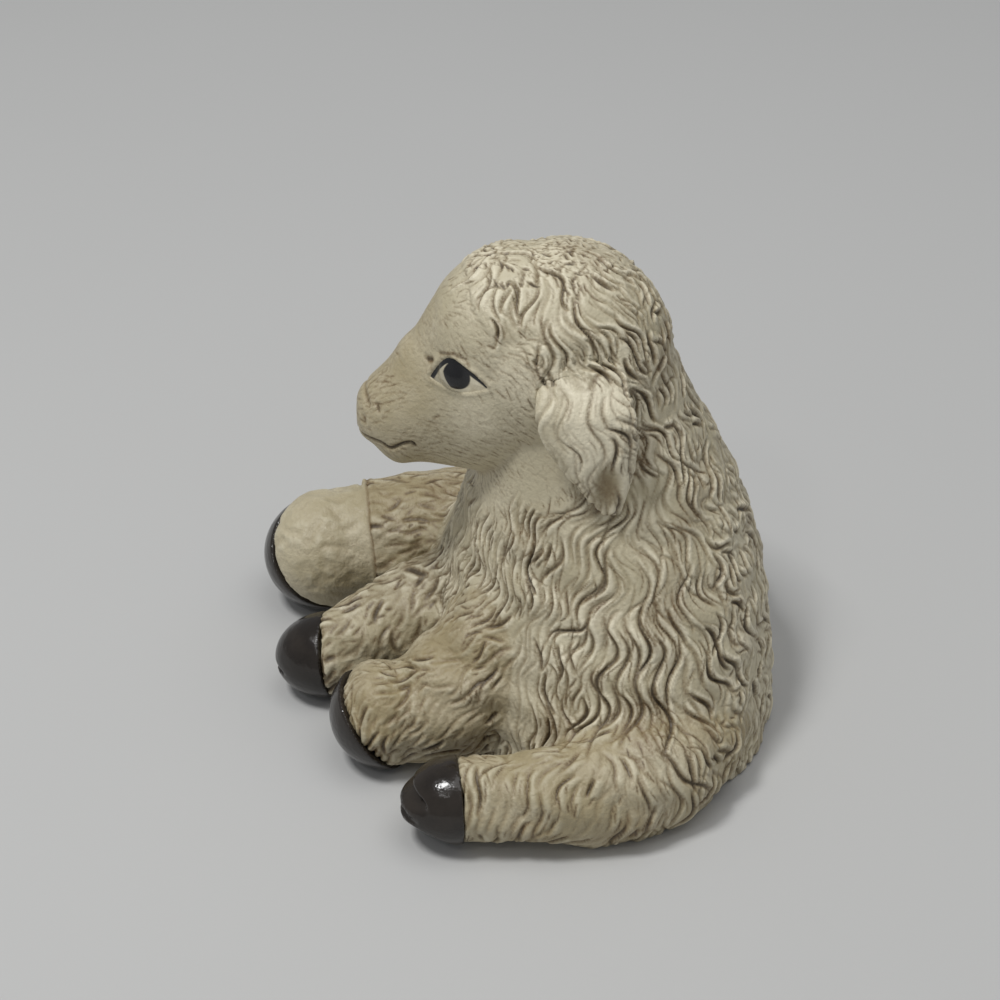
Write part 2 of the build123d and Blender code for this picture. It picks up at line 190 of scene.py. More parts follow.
def skin_round(nodes, voxel, rounds):
    """One smooth closed skin round the CAD solids of some nodes."""
    shape = bmesh.new()
    for name in nodes:
        shape.from_mesh(frame["nodes"][name].data)
    mesh = bpy.data.meshes.new("blank")
    shape.to_mesh(mesh)
    shape.free()
    blank = bpy.data.objects.new("blank", mesh)
    bpy.context.scene.collection.objects.link(blank)
    remesh = blank.modifiers.new("voxels", "REMESH")
    remesh.mode = "VOXEL"
    remesh.voxel_size = voxel * MM
    made = bpy.data.meshes.new_from_object(blank.evaluated_get(bpy.context.evaluated_depsgraph_get()))
    points = np.zeros(len(made.vertices) * 3)
    made.vertices.foreach_get("co", points)
    corners = np.zeros(len(made.loops), np.int64)
    made.loops.foreach_get("vertex_index", corners)
    bpy.data.objects.remove(blank)
    for used in (mesh, made):
        bpy.data.meshes.remove(used)
    skin = Skin(*largest_part(points.reshape(-1, 3) / MM, corners.reshape(-1, 4)))
    skin.points = skin.relaxed(skin.points, rounds)
    return skin


# Carved wool: wavy strokes of a tool in a smooth surface, side by side

@dataclass
class Wool:
    """How a kind of wool is carved: the spacing and size of the strokes, their sway and how they stray."""

    pitch: float
    half_length: float
    depth: float
    half_width: float
    bank: float
    sway: float
    wavelength: float
    stray: float
    bare: float
    rise: float = 0.0


FLANK_WOOL = Wool(0.88, 3.8, 0.48, 0.20, 0.22, 0.70, 6.6, 10.0, 0.16)
CHEST_WOOL = Wool(0.70, 2.2, 0.50, 0.18, 0.18, 0.45, 5.2, 12.0, 0.18)
BACK_WOOL = Wool(0.95, 1.6, 0.50, 0.23, 0.26, 0.50, 4.6, 26.0, 0.15)
CROWN_WOOL = Wool(0.44, 0.7, 0.32, 0.15, 0.12, 0.15, 3.0, 40.0, 0.08, 0.10)
TEMPLE_WOOL = Wool(0.66, 2.6, 0.60, 0.18, 0.22, 0.50, 5.4, 11.0, 0.08, 0.10)
FACE_WOOL = Wool(0.50, 0.8, 0.08, 0.12, 0.00, 0.10, 5.0, 14.0, 0.38, -0.10)
LEG_WOOL = Wool(0.90, 1.4, 0.42, 0.20, 0.22, 0.25, 4.5, 14.0, 0.20)
HAUNCH_WOOL = Wool(1.15, 2.0, 0.44, 0.19, 0.24, 0.30, 5.0, 8.0, 0.12)
SHANK_WOOL = Wool(1.20, 1.6, 0.28, 0.34, 0.18, 0.25, 5.0, 16.0, 0.30)
FOOT_WOOL = Wool(2.00, 1.4, 0.30, 0.60, 0.10, 0.20, 6.0, 35.0, 0.25)
EAR_WOOL = Wool(1.20, 4.0, 0.42, 0.20, 0.20, 0.60, 6.4, 6.0, 0.10)
WOOLS = [
    FLANK_WOOL, CHEST_WOOL, BACK_WOOL, CROWN_WOOL, TEMPLE_WOOL, FACE_WOOL,
    LEG_WOOL, HAUNCH_WOOL, SHANK_WOOL, FOOT_WOOL, EAR_WOOL,
]
WOOL_SIZES = np.array([list(vars(wool).values()) for wool in WOOLS])

# Fine strokes lie between the bold ones: each size as a share of the bold strokes'
FINE_SIZES = WOOL_SIZES * list(vars(Wool(0.50, 0.50, 0.38, 0.66, 0.0, 1.0, 1.0, 1.3, 1.0)).values())

# The least distance between strokes along the wool, as a share of their half length
PITCH_ALONG = 1.6
STROKE_TRIES = 90000

# Some long strokes are cut deeper than others, and strokes in bare patches are shallow
LONG_STROKE = 2.2
DEEP_SHARE = 0.12
DEEP_CUT = 0.40
SHALLOW = 0.44
CELL = 3.0


def wandering(points, wavelength, count=6):
    """A smooth random field, about -1 to 1, that changes over about a wavelength."""
    total = np.zeros(len(points))
    for _ in range(count):
        direction = unit(rng.normal(size=3))
        length = wavelength * rng.uniform(0.7, 1.5)
        total += np.sin(points @ direction * (2 * math.pi / length) + rng.uniform(0, 2 * math.pi))
    return total / math.sqrt(count)


def scatter(points, normals, flow, sizes):
    """Point numbers for the strokes' middles, spread evenly in the strokes' own proportions."""
    tries = rng.permutation(len(points))[:STROKE_TRIES]
    beside = np.cross(normals[tries], flow[tries])
    across_pitch = sizes[tries, 0]
    along_pitch = sizes[tries, 1] * PITCH_ALONG
    places = points[tries]
    cells = np.floor(places / CELL).astype(int).tolist()
    taken = {}
    chosen = []
    for number, (x, y, z) in enumerate(cells):
        near = [
            other
            for i in (x - 1, x, x + 1) for j in (y - 1, y, y + 1) for k in (z - 1, z, z + 1)
            for other in taken.get((i, j, k), ())
        ]
        if near:
            reach = places[near] - places[number]
            along = reach @ flow[tries[number]] / along_pitch[number]
            across = reach @ beside[number] / across_pitch[number]
            depth = reach @ normals[tries[number]]
            if (along**2 + across**2 + depth**2 < 1).any():
                continue
        taken.setdefault((x, y, z), []).append(number)
        chosen.append(number)
    return tries[chosen]


def carve(points, normals, flow, phase, patchy, foot, sizes):
    """The height that strokes leave at each point, and how deep in a stroke it lies."""
    seeds = scatter(points, normals, flow, sizes)
    pitch, half_length, depth, half_width, bank, sway, wavelength, stray, bare, _ = sizes[seeds].T
    place, outward, start, on_foot = points[seeds], normals[seeds], phase[seeds], foot[seeds]
    turn = np.radians(stray) * rng.normal(size=len(seeds))
    beside = np.cross(outward, flow[seeds])
    run = flow[seeds] * np.cos(turn)[:, None] + beside * np.sin(turn)[:, None]
    beside = np.cross(outward, run)
    pace = 2 * math.pi / wavelength
    half_length = half_length * rng.uniform(0.5, 1.3, len(seeds))
    half_width = half_width * rng.uniform(0.75, 1.25, len(seeds))
    sway = sway * rng.uniform(0.5, 1.3, len(seeds))
    calm = 1.6 * (bare - 0.5)
    deep = (rng.random(len(seeds)) < DEEP_SHARE) & (half_length > LONG_STROKE)
    strength = rng.uniform(0.30, 1.05, len(seeds)) + DEEP_CUT * deep
    strength *= SHALLOW + (1 - SHALLOW) * ramp(patchy[seeds], calm - 0.3, calm + 0.3)
    relief = np.zeros(len(points))
    groove = np.zeros(len(points))
    cells = np.floor(points / CELL).astype(int)
    _, first, group = np.unique(cells, axis=0, return_index=True, return_inverse=True)
    order = np.argsort(group.ravel(), kind="stable")
    starts = np.searchsorted(group.ravel()[order], np.arange(len(first) + 1))
    for number, corner in enumerate(cells[first]):
        inside = order[starts[number]:starts[number + 1]]
        distance = np.linalg.norm(place - (corner + 0.5) * CELL, axis=1)
        near = np.flatnonzero(distance < CELL * 0.87 + half_length + 1.0)
        if not len(near):
            continue
        reach = points[inside, None, :] - place[None, near]
        along = np.einsum("psk,sk->ps", reach, run[near])
        wave = sway[near] * (np.sin(along * pace[near] + start[near]) - np.sin(start[near]))
        across = np.einsum("psk,sk->ps", reach, beside[near]) - wave
        taper = np.sqrt(np.clip(1 - (along / half_length[near]) ** 2, 0, 1)) * strength[near]
        taper[normals[inside] @ outward[near].T < 0.2] = 0
        taper[foot[inside, None] != on_foot[None, near]] = 0
        cut = taper * np.exp(-((across / half_width[near]) ** 2))
        raised = bank[near] * taper * np.exp(-((across / pitch[near] - 0.5) / 0.4) ** 2)
        relief[inside] = raised.max(axis=1) - (depth[near] * cut).max(axis=1)
        groove[inside] = cut.max(axis=1)
    return relief, groove


# Lines on the face

def smooth_route(marks, count=10):
    """A smooth line through some marks."""
    marks = np.array(marks, float)
    padded = np.vstack([2 * marks[0] - marks[1], marks, 2 * marks[-1] - marks[-2]])
    t = np.linspace(0, 1, count, endpoint=False)[:, None]
    legs = []
    for a, b, c, d in zip(padded, padded[1:], padded[2:], padded[3:]):
        bend = 2 * a - 5 * b + 4 * c - d
        twist = 3 * b - a - 3 * c + d
        legs.append(b + 0.5 * t * (c - a + t * (bend + t * twist)))
    return np.vstack(legs + [marks[-1:]])


def distance_to(route, places):
    """How far places lie from a line, all in one plane."""
    best = np.full(len(places), FAR)
    for start, end in zip(route, route[1:]):
        leg = end - start
        share = np.clip((places - start) @ leg / (leg @ leg), 0, 1)
        best = np.minimum(best, np.linalg.norm(places - start - share[:, None] * leg, axis=1))
    return best


@dataclass
class Stroke:
    """A line carved in both sides of the face, by marks ahead of and above the eyes."""

    marks: list
    half_width: float
    depth: float
    # How dark the line is painted, partly as painted shade in its dent
    stain_and_shade: float


MOUTH = Stroke([(11.0, -9.3), (8.7, -9.3), (7.6, -9.75), (6.4, -9.0), (5.4, -8.6), (5.0, -8.95)], 0.18, 0.42, 1.0)
BROW = Stroke([(2.3, 1.9), (1.6, 2.35), (0.7, 2.7), (-0.3, 2.6)], 0.17, 0.14, 0.7)
BROW_DENT = Stroke([(3.6, 0.6), (3.2, 0.8)], 0.25, 0.25, 0.9)
NOSTRIL = Stroke([(10.2, -4.9), (9.8, -5.4)], 0.28, 0.22, 0.5)
LIP_DENT = Stroke([(8.8, -5.2), (8.7, -5.6)], 0.20, 0.20, 0.7)
MUZZLE_DENT = Stroke([(10.3, -6.9), (10.2, -7.3)], 0.22, 0.16, 0.5)
STROKES = [MOUTH, BROW, BROW_DENT, NOSTRIL, LIP_DENT, MUZZLE_DENT]

@dataclass
class Swell:
    """A soft swell of the face, by its middle ahead of and above the eyes, and how far it moves each way."""

    ahead: float
    above: float
    radius: float
    half_width: float
    forward: float
    upward: float
    outward: float


LOWER_LIP = Swell(6.6, -11.2, 1.7, FAR, 0.0, 0.0, 0.7)
CHIN_DENT = Swell(9.6, -10.9, 1.2, FAR, -0.4, 0.2, 0.0)
NOSE_BRIDGE = Swell(5.2, 1.6, 3.7, 4.2, 1.2, 1.2, 0.0)
SWELLS = [LOWER_LIP, CHIN_DENT, NOSE_BRIDGE]

# The eye's almond, its pupil and its lids, in the plane that the eye looks out of: to the nose, and up
UPPER_LID = smooth_route([(-4.0, -0.35), (-2.8, 0.7), (-1.36, 1.55), (-0.1, 1.95), (0.9, 1.75), (2.0, 0.7), (3.0, -0.8)])
LOWER_LID = smooth_route([(-4.0, -0.35), (-2.5, -0.95), (-1.2, -1.35), (0.0, -1.4), (1.4, -1.2), (3.0, -0.8)])
ALMOND = np.vstack([UPPER_LID, LOWER_LID[-2:0:-1]])
PUPIL_MIDDLE = np.array([-0.6, 0.4])
PUPIL_RADIUS = 1.5
PUPIL_CUT = 1.2
CUT_FACING = np.array([0.864, -0.503])
LASH_AT = [-4.0, -2.5, 0.7, 3.0]
LASH_WIDTH = [0.16, 0.40, 0.50, 0.55]
UPPER_LID_HEIGHT = 0.26
LOWER_LID_HEIGHT = 0.14
LID_WIDTH = 0.32
SOCKET_DEPTH = 0.40
EYE_SINK = 0.10
EYE_BULGE = 0.22
EYE_THICKNESS = 0.60
EYE_OVERLAP = 0.12
EYE_RINGS = 36


def eye_frame(node):
    """An eye's middle, and its own directions: to the nose, up and out."""
    centre = middle(node)
    side = HEAD_LEFT * np.sign((centre - EYES_MIDDLE) @ HEAD_LEFT)
    out = unit(0.5 * HEAD_AHEAD + 0.85 * side + 0.1 * UP)
    nose = unit(HEAD_AHEAD - out * (HEAD_AHEAD @ out))
    up = np.cross(out, nose)
    return centre, nose, up * np.sign(up[2]), out


def in_almond(flat):
    """Whether places in the eye's plane lie within its almond."""
    low = np.interp(flat[:, 0], *LOWER_LID.T)
    high = np.interp(flat[:, 0], *UPPER_LID.T)
    return (flat[:, 1] > low) & (flat[:, 1] < high)


def swell_face(points, normals, head):
    """How far the lip, the chin and the bridge of the nose move each point of the head."""
    ahead, side, above = on_head(points)
    moved = np.zeros((len(points), 3))
    for swell in SWELLS:
        away = np.hypot(ahead - swell.ahead, above - swell.above) / swell.radius
        share = head * np.exp(-(away**2) - (side / swell.half_width) ** 2)
        way = HEAD_AHEAD * swell.forward + UP * swell.upward + normals * swell.outward
        moved += way * share[:, None]
    return moved


def sculpt_face(points, head):
    """How far eyes, lids, brow and mouth raise each point, and how dark their carved lines leave it: dark paint in
    the lines, with painted shade in the dents.
    """
    height = np.zeros(len(points))
    stain_and_shade = np.zeros(len(points))
    places = points[head]
    ahead, _, above = on_head(places)
    for stroke in STROKES:
        away = distance_to(smooth_route(stroke.marks), np.stack([ahead, above], axis=1))
        cut = np.exp(-((away / stroke.half_width) ** 2))
        height[head] -= stroke.depth * cut
        stain_and_shade[head] = np.maximum(stain_and_shade[head], stroke.stain_and_shade * cut)
    for node in EYE_NODES:
        centre, nose, up, out = eye_frame(node)
        reach = places - centre
        flat = np.stack([reach @ nose, reach @ up], axis=1)
        edge = distance_to(ALMOND, flat)
        edge = np.where(in_almond(flat), -edge, edge)
        lid = np.where(
            distance_to(UPPER_LID, flat) < distance_to(LOWER_LID, flat), UPPER_LID_HEIGHT, LOWER_LID_HEIGHT,
        )
        shown = reach @ out > -2.5
        ridge = lid * np.exp(-(((edge - LID_WIDTH) / LID_WIDTH) ** 2))
        height[head] += shown * (ridge - SOCKET_DEPTH * ramp(edge, 0.1, -0.3))
    return height, stain_and_shade


# The fleece

def leg_direction(node):
    """The way that a leg runs to its hoof."""
    return unit(middle(node.replace("leg", "hoof")) - middle(node))


# The edge of the bare face: how far back it reaches at each height above the eyes,
# how high the hairline lies and where the throat starts, at places ahead of the eyes
FACE_HEIGHTS = [-12.0, -4.7, -1.6, 0.2, 6.4]
FACE_BACK = [-11.0, -9.6, -8.2, -7.0, -6.8]
HAIRLINE_AHEAD = [-7.0, -4.0, -2.2, -1.0, 1.5]
HAIRLINE = [5.6, 5.2, 5.8, 8.2, 10.5]
THROAT_AHEAD = [-9.8, -5.8, -1.7]
THROAT = [-11.0, -12.5, -16.3]
FACE_BLUR = 0.6


def face_share(points, label):
    """1 on the bare face, 0 on the wool."""
    ahead, _, above = on_head(points)
    edge = 0.5 * wandering(points, 3.0)
    within = np.minimum.reduce([
        ahead - np.interp(above, FACE_HEIGHTS, FACE_BACK),
        np.interp(ahead, HAIRLINE_AHEAD, HAIRLINE) - above,
        above - np.interp(ahead, THROAT_AHEAD, THROAT),
    ])
    return ramp(within + edge, -FACE_BLUR, FACE_BLUR) * (label == numbered("head"))


# How far the wool on each leg runs along the leg, as a share of how far it hangs down
LEG_LIE = {"front_leg_left": 1.6, "front_leg_right": 2.5, "hind_leg_left": 0.2, "hind_leg_right": 2.5}


STRAY_FLOW = 20.0


def wool_flow(points, normals, label, face):
    """The way that the wool lies, down the body and along the legs and ears, and the place along it."""
    way = np.tile(-UP, (len(points), 1))
    for node, lie in LEG_LIE.items():
        way[label == numbered(node)] = unit(leg_direction(node) * lie - UP)
    for node in EAR_NODES:
        way[label == numbered(node)] = unit(-UP - HEAD_AHEAD * 0.2)
    way = way * (1 - face[:, None]) + (-HEAD_AHEAD - UP * 0.45) * face[:, None]
    course = (way * points).sum(axis=1)
    way = unit(way - normals * (way * normals).sum(axis=1, keepdims=True))
    turn = np.radians(STRAY_FLOW) * wandering(points, 12.0)
    beside = np.cross(normals, way)
    return way * np.cos(turn)[:, None] + beside * np.sin(turn)[:, None], course


# The step of the far hind leg, as a share of the way from the middle of the leg to its hoof
FOOT_START = 0.62
STEP_HALF_WIDTH = 0.20
STEP_DEPTH = 0.25
FOOT_RISE = 0.25
CHEST_BACK = -1.0
CROWN_FROM = 9.8
NECK_BELOW = -9.0
EAR_ROOT = 1.8
HAUNCH_BACK = 5.0


def past_step(points):
    """How far points lie past the step of the far hind leg, towards its hoof."""
    leg = "hind_leg_right"
    start = middle(leg)
    reach = middle(leg.replace("leg", "hoof")) - start
    return (points - start) @ unit(reach) - FOOT_START * np.linalg.norm(reach)


def wool_kinds(points, normals, label, face, foot):
    """Which kind of wool grows at each point."""
    _, _, above = on_head(points)
    ragged = wandering(points, 3.0)
    back = normals[:, 1] > 0.45
    head = label == numbered("head")
    ear = np.isin(label, [numbered(node) for node in EAR_NODES])
    kind = np.where(points[:, 1] < CHEST_BACK + ragged, WOOLS.index(CHEST_WOOL), WOOLS.index(FLANK_WOOL))
    kind[back] = WOOLS.index(BACK_WOOL)
    kind[(head & ~back & (above > NECK_BELOW)) | ear] = WOOLS.index(TEMPLE_WOOL)
    kind[head & (above > CROWN_FROM + ragged)] = WOOLS.index(CROWN_WOOL)
    kind[ear & (above < EAR_ROOT + 0.5 * ragged)] = WOOLS.index(EAR_WOOL)
    kind[face > 0.5] = WOOLS.index(FACE_WOOL)
    for node in ["front_leg_left", "tail"]:
        kind[label == numbered(node)] = WOOLS.index(LEG_WOOL)
    kind[(label == numbered("hind_leg_left")) & (points[:, 1] < HAUNCH_BACK + ragged)] = WOOLS.index(HAUNCH_WOOL)
    for node in ["front_leg_right", "hind_leg_right"]:
        kind[label == numbered(node)] = WOOLS.index(SHANK_WOOL)
    kind[foot] = WOOLS.index(FOOT_WOOL)
    return kind


def nearest_node(points):
    """The number of the fleece node that each point lies on."""
    corners = []
    triangles = []
    owner = []
    for number, node in enumerate(FLEECE_NODES):
        mesh = frame["nodes"][node].data
        mesh.calc_loop_triangles()
        base = len(corners)
        corners += [vertex.co / MM for vertex in mesh.vertices]
        triangles += [[base + i for i in triangle.vertices] for triangle in mesh.loop_triangles]
        owner += [number] * len(mesh.loop_triangles)
    tree = BVHTree.FromPolygons(corners, triangles)
    return np.array([owner[tree.find_nearest(Vector(point))[2]] for point in points])


def settled(skin, label, rounds=14):
    """Labels with smooth borders between them."""
    shares = np.eye(len(FLEECE_NODES))[label]
    return skin.relaxed(shares, rounds).argmax(axis=1)


# Pieces

def new_piece(name, points, faces, attributes, material, node, normals=None):
    """A Blender object that stands for a CAD node."""
    mesh = bpy.data.meshes.new(name)
    mesh.from_pydata((points * MM).tolist(), [], faces)
    for label, values in attributes.items():
        kind, field = ("FLOAT", "value") if values.ndim == 1 else ("FLOAT_VECTOR", "vector")
        mesh.attributes.new(label, kind, "POINT").data.foreach_set(field, values.astype(np.float32).ravel())
    mesh.materials.append(material)
    if normals is not None:
        mesh.normals_split_custom_set(normals)
    mesh.update()
    piece = bpy.data.objects.new(name, mesh)
    bpy.context.scene.collection.objects.link(piece)
    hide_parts(node)
    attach(piece, "root")
    return piece


def rims_of(quads):
    """The closed rims of an open patch, each as point numbers in order."""
    sides = {}
    for corner in range(4):
        for start, end in zip(quads[:, corner].tolist(), quads[:, (corner + 1) % 4].tolist()):
            sides[(start, end)] = True
    onward = {}
    for start, end in sides:
        if (end, start) not in sides:
            onward.setdefault(start, []).append(end)
    rims = []
    while onward:
        start = next(iter(onward))
        rim = [start]
        while True:
            ends = onward[rim[-1]]
            following = ends.pop()
            if not ends:
                del onward[rim[-1]]
            if following == start:
                break
            rim.append(following)
        rims.append(rim)
    return rims


def patch_piece(node, skin, normals, quads, attributes):
    """The part of the fleece that belongs to a node, closed inside by a fan from each rim."""
    used, local = np.unique(quads, return_inverse=True)
    local = local.reshape(-1, 4)
    points = skin.points[used]
    faces = local.tolist()
    corner_normals = normals[used][local].reshape(-1, 3).tolist()
    hubs = []
    for rim in rims_of(local):
        hub = len(points) + len(hubs)
        hubs.append(points[rim].mean(axis=0))
        for start, end in zip(rim, rim[1:] + rim[:1]):
            faces.append([end, start, hub])
            facing = np.cross(points[start] - points[end], hubs[-1] - points[end])
            corner_normals += [unit(facing).tolist()] * 3
    shown = {}
    for name, values in attributes.items():
        shown[name] = np.concatenate([values[used], np.zeros((len(hubs), *values.shape[1:]))])
    slot = "ear" if node in EAR_NODES else "wool"
    points = np.vstack([points] + hubs)
    return new_piece(f"{node}_{slot}_skin", points, faces, shown, WOOL_PAINT, node, corner_normals)


# Materials

def new_material(name):
    """A material with its nodes, and the shader among them."""
    material = bpy.data.materials.new(name)
    material.use_nodes = True
    return material, material.node_tree, material.node_tree.nodes["Principled BSDF"]


def add_node(tree, kind, values=None, **settings):
    """A shader node, with some of its settings and its inputs' values."""
    node = tree.nodes.new(kind)
    for name, value in settings.items():
        setattr(node, name, value)
    for name, value in (values or {}).items():
        node.inputs[name].default_value = value
    return node


def noise(tree, scale, detail=4.0, roughness=0.55):
    """Noise in the object's own place, with its scale in cycles a metre."""
    place = add_node(tree, "ShaderNodeTexCoord")
    texture = add_node(tree, "ShaderNodeTexNoise", {"Scale": scale, "Detail": detail, "Roughness": roughness})
    tree.links.new(place.outputs["Object"], texture.inputs["Vector"])
    return texture.outputs["Fac"]


def remap(tree, value, low, high, to_low=0.0, to_high=1.0):
    """A value carried from one range to another."""
    node = add_node(tree, "ShaderNodeMapRange", {
        "From Min": low, "From Max": high, "To Min": to_low, "To Max": to_high,
    })
    tree.links.new(value, node.inputs["Value"])
    return node.outputs["Result"]


def times(tree, first, second):
    """Two values multiplied."""
    node = add_node(tree, "ShaderNodeMath", operation="MULTIPLY")
    tree.links.new(first, node.inputs[0])
    tree.links.new(second, node.inputs[1])
    return node.outputs["Value"]


def attribute(tree, name):
    """A value kept at the mesh's points."""
    return add_node(tree, "ShaderNodeAttribute", attribute_name=name).outputs["Fac"]


def mixed(tree, share, first, second):
    """Two colours mixed by a share. Each is a colour or a socket."""
    node = add_node(tree, "ShaderNodeMix", data_type="RGBA")
    tree.links.new(share, node.inputs["Factor"])
    for value, socket in ((first, node.inputs["A"]), (second, node.inputs["B"])):
        if isinstance(value, tuple):
            socket.default_value = (*value, 1.0)
        else:
            tree.links.new(value, socket)
    return node.outputs["Result"]


def bumped(tree, shader, height, distance):
    """Fine grain on a shader's surface."""
    node = add_node(tree, "ShaderNodeBump", {"Strength": 1.0, "Distance": distance})
    tree.links.new(height, node.inputs["Height"])
    tree.links.new(node.outputs["Normal"], shader.inputs["Normal"])


CREAM = (0.50, 0.443, 0.298)
PALE_CREAM = (0.78, 0.715, 0.54)
WARM_CREAM = (0.35, 0.282, 0.153)
# Brown wash and painted shade for grooves and creases; the darker one paints the deepest grooves near black as
# shade
WASH_AND_SHADE_BROWN = (0.19, 0.125, 0.058)
WASH_AND_SHADE_DARK = (0.060, 0.040, 0.020)
HOOF_DARK = (0.018, 0.014, 0.011)
HOOF_BROWN = (0.034, 0.027, 0.021)
PUPIL_BLACK = (0.012, 0.012, 0.013)
EYE_CREAM = (0.60, 0.53, 0.37)
FLOOR_GREY = (0.53, 0.53, 0.52)
FLOOR_PALE = (0.56, 0.56, 0.55)

def plus(tree, first, second):
    """Two values added."""
    node = add_node(tree, "ShaderNodeMath", operation="ADD")
    tree.links.new(first, node.inputs[0])
    tree.links.new(second, node.inputs[1])
    return node.outputs["Value"]


def wool_paint():
    """Cream paint, with brown wash and painted shade in the grooves and creases, brown stains, and pale ridges
    (dry-brushed paint and painted highlight) carried in the tone.
    """
    material, tree, shader = new_material("wool_paint")
    tone = attribute(tree, "tone")
    ground = mixed(tree, remap(tree, tone, 0.0, 0.5), WARM_CREAM, CREAM)
    pale = plus(tree, remap(tree, tone, 0.5, 1.0), remap(tree, noise(tree, 130.0), 0.42, 0.70, 0.0, 0.5))
    ground = mixed(tree, pale, ground, PALE_CREAM)
    rubbed = times(tree, remap(tree, noise(tree, 260.0), 0.42, 0.66), remap(tree, noise(tree, 2200.0), 0.42, 0.62))
    speckle = remap(tree, noise(tree, 2600.0, 3.0), 0.36, 0.60, 0.5, 1.0)
    groove = attribute(tree, "groove")
    # Shallow grooves, creases and stains: brown wash with painted shade
    shallow = times(tree, remap(tree, groove, 0.05, 0.45, 0.0, 0.75), speckle)
    wash_and_shade = plus(tree, plus(tree, shallow, attribute(tree, "stain_and_shade")), times(tree, rubbed, remap(tree, tone, 0.4, 1.0, 0.3, 0.1)))
    colour = mixed(tree, wash_and_shade, ground, WASH_AND_SHADE_BROWN)
    # The deepest grooves painted near black: brown wash and painted shade
    colour = mixed(tree, remap(tree, groove, 0.35, 0.85, 0.0, 0.9), colour, WASH_AND_SHADE_DARK)
    tree.links.new(colour, shader.inputs["Base Color"])
    tree.links.new(remap(tree, noise(tree, 700.0), 0.3, 0.7, 0.36, 0.54), shader.inputs["Roughness"])
    shader.inputs["Specular IOR Level"].default_value = 0.5
    bumped(tree, shader, noise(tree, 2400.0, 5.0), 0.00014)
    return material


def hoof_paint():
    """Glossy dark brown paint."""
    material, tree, shader = new_material("hoof_paint")
    cloudy = remap(tree, noise(tree, 240.0), 0.42, 0.72)
    tree.links.new(mixed(tree, cloudy, HOOF_DARK, HOOF_BROWN), shader.inputs["Base Color"])
    tree.links.new(remap(tree, noise(tree, 900.0), 0.3, 0.7, 0.12, 0.22), shader.inputs["Roughness"])
    bumped(tree, shader, noise(tree, 500.0, 3.0), 0.00012)
    return material


def eye_paint():
    """A black pupil and lid line on cream, under a clear gloss."""
    material, tree, shader = new_material("eye_paint")
    cloudy = remap(tree, noise(tree, 900.0), 0.35, 0.65)
    ground = mixed(tree, cloudy, EYE_CREAM, PALE_CREAM)
    tree.links.new(mixed(tree, attribute(tree, "dark"), ground, PUPIL_BLACK), shader.inputs["Base Color"])
    tree.links.new(remap(tree, noise(tree, 1500.0), 0.3, 0.7, 0.20, 0.34), shader.inputs["Roughness"])
    return material


WOOL_PAINT = wool_paint()
HOOF_PAINT = hoof_paint()
EYE_PAINT = eye_paint()


# Making the fleece

# The hollow at an ear's tip, ahead of and above the eyes
EAR_HOLLOW = (-14.3, -8.0)
EAR_HOLLOW_WIDTH = 1.7
EAR_HOLLOW_LENGTH = 3.4
EAR_HOLLOW_DEPTH = 0.65

# How pale the paint is on some members, where 0.5 is the fleece
TONES = {
    "ear_left": 1.0, "ear_right": 1.0, "front_leg_right": 0.35, "hind_leg_right": 0.1,
    "front_leg_left": 0.05, "hind_leg_left": 0.15,
}
FOOT_TONE = 0.3
CROWN_TONE = 0.65
TEMPLE_TONE = 0.58
FACE_TONE = 0.6

# How much of the brown wash and painted shade stays in fine strokes, and how much less stays on the face
FINE_WASH_AND_SHADE = 0.65
FACE_CALM = 0.40

# The deepest cut that wool leaves on the bare face, and how dark it is
FACE_CUT = 0.12
FACE_GROOVE = 0.80

# How much paler the paint is on the ridges, as dry-brushed paint and a painted highlight, and how much warmer on
# the muzzle
BRUSHED_HIGHLIGHT_TONE = 0.4
MUZZLE_WARMTH = 0.36

# How brown the fleece is left in patches
PATCH_STAIN = 0.22

# The lumps of the fleece under its strokes, and their share on the head
LUMP_HEIGHT = 0.20
LUMP_SPAN = 4.5
HEAD_LUMPS = 0.25


def ear_hollow(points, label):
    """1 in the hollow at an ear's tip, 0 elsewhere."""
    ahead, _, above = on_head(points)
    span = np.hypot((ahead - EAR_HOLLOW[0]) / EAR_HOLLOW_WIDTH, (above - EAR_HOLLOW[1]) / EAR_HOLLOW_LENGTH)
    on_ear = np.isin(label, [numbered(node) for node in EAR_NODES])
    return ramp(span, 1.2, 0.2) * on_ear


# How far the creases between members are filled, and how far an ear's root is tucked into the head
JOIN_ROUNDS = 300
EAR_TUCK = 2.3


def tuck_ears(points, label):
    """How far each point of an ear moves towards the head, more and more up to its root."""
    moved = np.zeros((len(points), 3))
    for node in EAR_NODES:
        ear = label == numbered(node)
        _, _, above = on_head(points[ear])
        side = HEAD_LEFT * np.sign((middle(node) - EYES_MIDDLE) @ HEAD_LEFT)
        moved[ear] = -side * EAR_TUCK * ramp(above, EAR_ROOT - 2.5, EAR_ROOT + 1.5)[:, None]
    return moved


def soft_joins(skin, label):
    """How far each point is drawn out to fill the creases between members, as on a casting."""
    ahead, side, above = on_head(skin.points)
    head = np.isin(label, [numbered(node) for node in ["head"] + EAR_NODES])
    share = np.where(head, 0.0, 0.8)
    share[head & (ahead < -6.0) & (above > 1.0)] = 1.0
    share[head & (ahead > 0.5) & (above > -2.5) & (above < 8.0) & (side < 6.0)] = 1.0
    drawn = skin.relaxed(skin.points, JOIN_ROUNDS, 0.9) - skin.points
    outward = (drawn * skin.normals()).sum(axis=1)
    return drawn * (skin.relaxed(share, 20) * (outward > 0))[:, None]


# Where creases of the head are melted away, between nose and forehead and at the roots of the ears:
# each place ahead of, beside and above the eyes, and how far round it
MELT_PLACES = [((4.0, 0.0, 3.2), (4.5, 6.0, 4.5)), ((-12.0, 10.0, 4.0), (5.5, 5.0, 2.8))]
MELT_ROUNDS = 260


